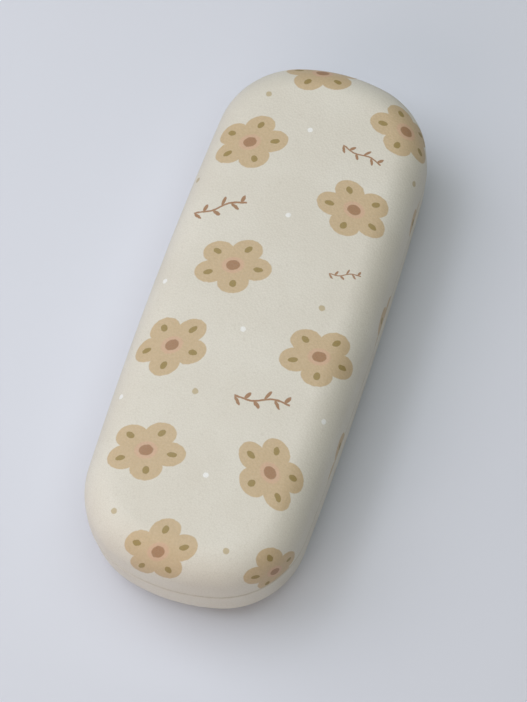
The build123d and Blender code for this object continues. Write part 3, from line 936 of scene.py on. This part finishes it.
STRIP_THICKNESS = 0.76
STRIP_ENDS = np.array([61.95, 61.85, 61.6])
STRIP_TAPER = {61.95: 0.5, 61.85: 0.8}  # share of the thickness near the ends, by x
KNUCKLE_CLEAR_R, KNUCKLE_HALF_Z = 1.08, 1.05


def build_strip():
    """The outer strip, flush with both covers, with a shallow fold line where they meet."""
    heights = np.r_[
        np.linspace(7.6, 2.4, 13), np.linspace(2.1, -2.1, 25), np.linspace(-2.4, -9.4, 13)
    ]
    inset_at = back_insets(0.40)
    sections = []
    for x in np.r_[-STRIP_ENDS, np.linspace(-61.0, 61.0, 121), STRIP_ENDS[::-1]]:
        thickness = STRIP_THICKNESS * STRIP_TAPER.get(round(abs(x), 2), 1.0)
        path = [(inset_at(x, height) + fold_line(height), height) for height in heights]
        section = thick_path(np.array(path), thickness)
        if abs(x) < HINGE_HALF_X + 0.6:  # thinned from inside where it passes the knuckles
            near = np.abs(section[:, 1]) < KNUCKLE_HALF_Z
            reach = np.sqrt(np.maximum(KNUCKLE_CLEAR_R**2 - section[:, 1] ** 2, 0.0))
            bound = (back_wall(x)[0] - AXIS_Y) - reach
            thin = near & (section[:, 0] > 0.5)
            section[:, 0] = np.where(thin, np.minimum(section[:, 0], bound), section[:, 0])
        sections.append(back_section(x, section))
    return skin("hinge_strip_leatherette", sections, sharp=50, capped=True)


def build_gusset():
    """A velour fold over the springs, lying over the edges of both linings."""
    half_x, run_out, bulge = 59.0, 24.0, 5.2
    sections = []
    for x in np.linspace(-half_x, half_x, 141):
        full = np.clip((half_x - abs(x)) / run_out, 0.0, 1.0)
        full = full * full * (3 - 2 * full)
        path = []
        for z in np.linspace(9.3, -9.3, 75):
            arch = max(0.0, 1 - (z / 8.4) ** 2)
            phase = x * 1.55 + 0.9 * math.sin(x * 0.27) + 0.5 * math.sin(z * 0.5)
            gather = 0.13 * math.sin(phase) * arch**0.6
            gather += 0.09 * math.sin(x * 0.63 + 0.35 * z) * arch
            seam = 0.10 * math.exp(-(((abs(z) - 8.55) / 0.22) ** 2))
            lying = CAVITY_IN + 0.36 - seam + abs(z) * DRAFT_TAN
            raised = lying + bulge * full * arch**0.9
            path.append((raised + gather * (0.3 + 0.7 * full), z))
        thickness = 0.66 if abs(x) < half_x - 0.3 else 0.4
        sections.append(back_section(x, thick_path(np.array(path), thickness)))
    return skin("hinge_gusset_velour", sections, sharp=60, capped=True)


def build_gusset_end(label, sign):
    """The gusset's flat end, on the linings, turned out to meet the strip near its tip."""
    distances = np.r_[
        50.5, 50.7, np.linspace(51.2, 60.2, 37),
        60.45, 60.6, 60.75, 61.0, 61.3, 61.6, 61.85, 61.95,
    ]
    sections = []
    for distance in distances:
        reach = 8.2 - 2.6 * max(0.0, (distance - 57.0) / 4.95) ** 2.4
        heights = np.linspace(reach, -reach, 81)
        path = [(CAVITY_IN + 0.22 + abs(z) * DRAFT_TAN, z) for z in heights]
        section = thick_path(np.array(path), 0.36 if 50.6 < distance < 61.9 else 0.24)
        out = np.interp(distance, [60.45, 60.75], [0.0, 1.0])
        depth = np.abs(section[:, 1])
        turned = 0.74 + depth * DRAFT_TAN + fold_line(depth)
        outer = (section[:, 0] < CAVITY_IN + 0.2 + depth * DRAFT_TAN) & (depth < 2.35)
        share = out * np.interp(depth[outer], [2.0, 2.3], [1.0, 0.0])
        section[outer, 0] += (turned[outer] - section[outer, 0]) * share
        sections.append(back_section(sign * distance, section))
    if sign < 0:
        sections = sections[::-1]
    return skin("hinge_gusset_end_" + label + "_velour", sections, sharp=60, capped=True)


SPRING_X, SPRING_WIDTH, SPRING_THICKNESS = 18.0, 12.0, 0.5
SPRING_HALF_Z = 5.0  # height of each hooked end over or under the parting plane
SPRING_BELLY, SPRING_NECK = 6.05, 2.9  # forward of the hinge axis, in the middle and at the ends


def resample(path, step):
    path = np.array(path)
    along = np.r_[0, np.cumsum(np.linalg.norm(np.diff(path, axis=0), axis=1))]
    even = np.linspace(0, along[-1], max(8, int(along[-1] / step)))
    return np.c_[np.interp(even, along, path[:, 0]), np.interp(even, along, path[:, 1])]


def build_spring(label, centre_x):
    """A bowed strip, bulging forwards, with a short straight hook at its top and bottom."""
    rise = SPRING_BELLY - SPRING_NECK
    radius = (SPRING_HALF_Z**2 + rise**2) / (2 * rise)
    centre_y = AXIS_Y + radius - SPRING_BELLY
    span = math.asin(SPRING_HALF_Z / radius)
    bow = [
        (centre_y - radius * math.cos(angle), radius * math.sin(angle))
        for angle in np.linspace(span, -span, 33)
    ]
    hook = [(AXIS_Y - 1.2, SPRING_HALF_Z), (AXIS_Y - 2.0, SPRING_HALF_Z)]
    path = resample(hook + bow + [(y, -z) for y, z in hook[::-1]], 0.35)
    half = SPRING_WIDTH / 2
    sections = []
    for x in np.r_[
        -half, -half + 0.12, np.linspace(-half + 0.5, half - 0.5, 9), half - 0.12, half
    ]:
        taper = 0.7 if abs(abs(x) - half) < 0.01 else 1.0
        section = thick_path(path, SPRING_THICKNESS * taper, cap=3)
        across = np.full(len(section), centre_x + x)
        sections.append(np.c_[across, section[:, 0], section[:, 1] + PARTING_Z])
    return skin("snap_spring_" + label + "_strip", sections, sharp=50, capped=True)


strip = build_strip()
place_piece(strip, UNPRINTED, "hinge_cover_strip")
gusset = build_gusset()
gusset_ends = [build_gusset_end("left", -1), build_gusset_end("right", 1)]
for fold in (gusset, *gusset_ends):
    place_piece(fold, VELOUR, "hinge_gusset")
springs = []
for label, centre_x in (("left", -SPRING_X), ("right", SPRING_X)):
    spring = build_spring(label, centre_x)
    place_piece(spring, SPRING_STEEL, "snap_spring_" + label)
    springs.append(spring)

# each piece's transform is baked into its mesh; half_band, a band this far either side of the
# hinge axis, is not used
for pieces, half_band in (([strip], 2.9), ([gusset], 8.0), (gusset_ends, 2.9), (springs, 4.6)):
    for piece in pieces:
        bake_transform(piece)

# ---------------------------------------------------------------- CAD nodes that keep their shape
for node, material in (
    ("lid_shell", TINPLATE),
    ("base_shell", TINPLATE),
    ("lid_hinge_leaf", LEAF_STEEL),
    ("base_hinge_leaf", LEAF_STEEL),
    ("lid_hinge_rivets", RIVET_STEEL),
    ("base_hinge_rivets", RIVET_STEEL),
    ("hinge_pin", RIVET_STEEL),
    ("base_floor_board", GREYBOARD),
    ("lid_ceiling_board", GREYBOARD),
):
    set_material(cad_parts[node], material)

# ---------------------------------------------------------------- floor and world
BACKDROP = srgb(205, 208, 217)


def floor_material():
    """Pale paper, painted lighter towards +Y as painted light, that fades, for the camera only,
    into an evenly lit backdrop.
    """
    shader = new_material("floor")
    place = shader.object_place()
    mottle = shader.noise(place, scale=9.0)
    y = shader.axes(place)[1]
    # painted light: the paper is painted lighter towards +Y, standing in for the lamps' fall-off
    # across the floor
    near, far = srgb(209, 212, 222), srgb(225, 228, 238)
    painted_light_paper = shader.mix(y.fade(start=-0.16, end=0.18), near, far)
    shader.principled({
        "Base Color": shader.mix(mottle, painted_light_paper, srgb(219, 222, 231)),
        "Roughness": 0.7,
        "Specular IOR Level": 0.2,
    })
    seen = shader.node("ShaderNodeLightPath", output="Is Camera Ray")
    away = shader.node("ShaderNodeVectorMath", {0: place}, "Value", operation="LENGTH")
    blend = shader.node("ShaderNodeMixShader", {
        0: seen * away.fade(start=0.26, end=0.9),
        1: shader.default_output("Principled BSDF"),
        2: shader.node("ShaderNodeEmission", {"Color": BACKDROP}),
    })
    shader.put(shader.tree.nodes["Material Output"].inputs["Surface"], blend)
    return shader.owner


def build_world():
    """A dim warm fill; the camera sees the backdrop colour instead."""
    shader = Shader(bpy.data.worlds.new("world"))
    fill = shader.tree.nodes["Background"]
    fill.inputs["Color"].default_value = (1.0, 0.85, 0.42, 1.0)
    fill.inputs["Strength"].default_value = 0.095
    either = shader.node("ShaderNodeMixShader", {
        0: shader.node("ShaderNodeLightPath", output="Is Camera Ray"),
        1: shader.default_output("Background"),
        2: shader.node("ShaderNodeBackground", {"Color": BACKDROP}),
    })
    shader.put(shader.tree.nodes["World Output"].inputs["Surface"], either)
    return shader.owner


bpy.ops.mesh.primitive_plane_add(size=6.0, location=(0, 0, -0.00005))
floor = bpy.context.object
floor.name = "floor"
floor.data.materials.append(floor_material())
scene.view_settings.view_transform = "Standard"
scene.world = build_world()

# ---------------------------------------------------------------- lights, metres and watts
LIGHT_TARGET = Vector((0, 0, 0.02))


def softbox(name, place, size, power, colour):
    data = bpy.data.lights.new(name, "AREA")
    data.size = size
    data.energy = power
    data.color = colour
    light = bpy.data.objects.new(name, data)
    scene.collection.objects.link(light)
    light.location = place
    light.rotation_mode = "QUATERNION"
    light.rotation_quaternion = (LIGHT_TARGET - Vector(place)).to_track_quat("-Z", "Y")


softbox("softbox_top", (0.0, 0.0, 1.1), size=1.2, power=7.5, colour=(0.885, 0.956, 0.985))
softbox("softbox_left", (0.0, 0.7, 0.9), size=0.9, power=5.6, colour=(0.905, 0.907, 0.985))
softbox("softbox_near", (-1.0, 0.3, 0.5), size=0.8, power=3.7, colour=(1.0, 0.845, 0.80))

# ---------------------------------------------------------------- camera
AZIMUTH, ELEVATION, ROLL = -1.153672, 1.152007, -0.111148  # radians
CAMERA_TARGET, CAMERA_DISTANCE = np.array([-6.2818, -2.6156, 20.0]), 624.803  # mm


def build_camera():
    cos_up = math.cos(ELEVATION)
    back = np.array(
        [math.sin(AZIMUTH) * cos_up, -math.cos(AZIMUTH) * cos_up, math.sin(ELEVATION)]
    )
    level = np.array([math.cos(AZIMUTH), math.sin(AZIMUTH), 0.0])
    upright = np.cross(back, level)
    right = level * math.cos(ROLL) + upright * math.sin(ROLL)
    above = -level * math.sin(ROLL) + upright * math.cos(ROLL)
    eye = (CAMERA_TARGET + back * CAMERA_DISTANCE) * MILLI
    data = bpy.data.cameras.new("camera")
    data.lens = 115.122051
    data.sensor_width = 36.0
    data.clip_start = 0.01
    data.clip_end = 20.0
    camera = bpy.data.objects.new("camera", data)
    scene.collection.objects.link(camera)
    rows = [[right[i], above[i], back[i], eye[i]] for i in range(3)]
    camera.matrix_world = Matrix(rows + [[0.0, 0.0, 0.0, 1.0]])
    scene.camera = camera


build_camera()
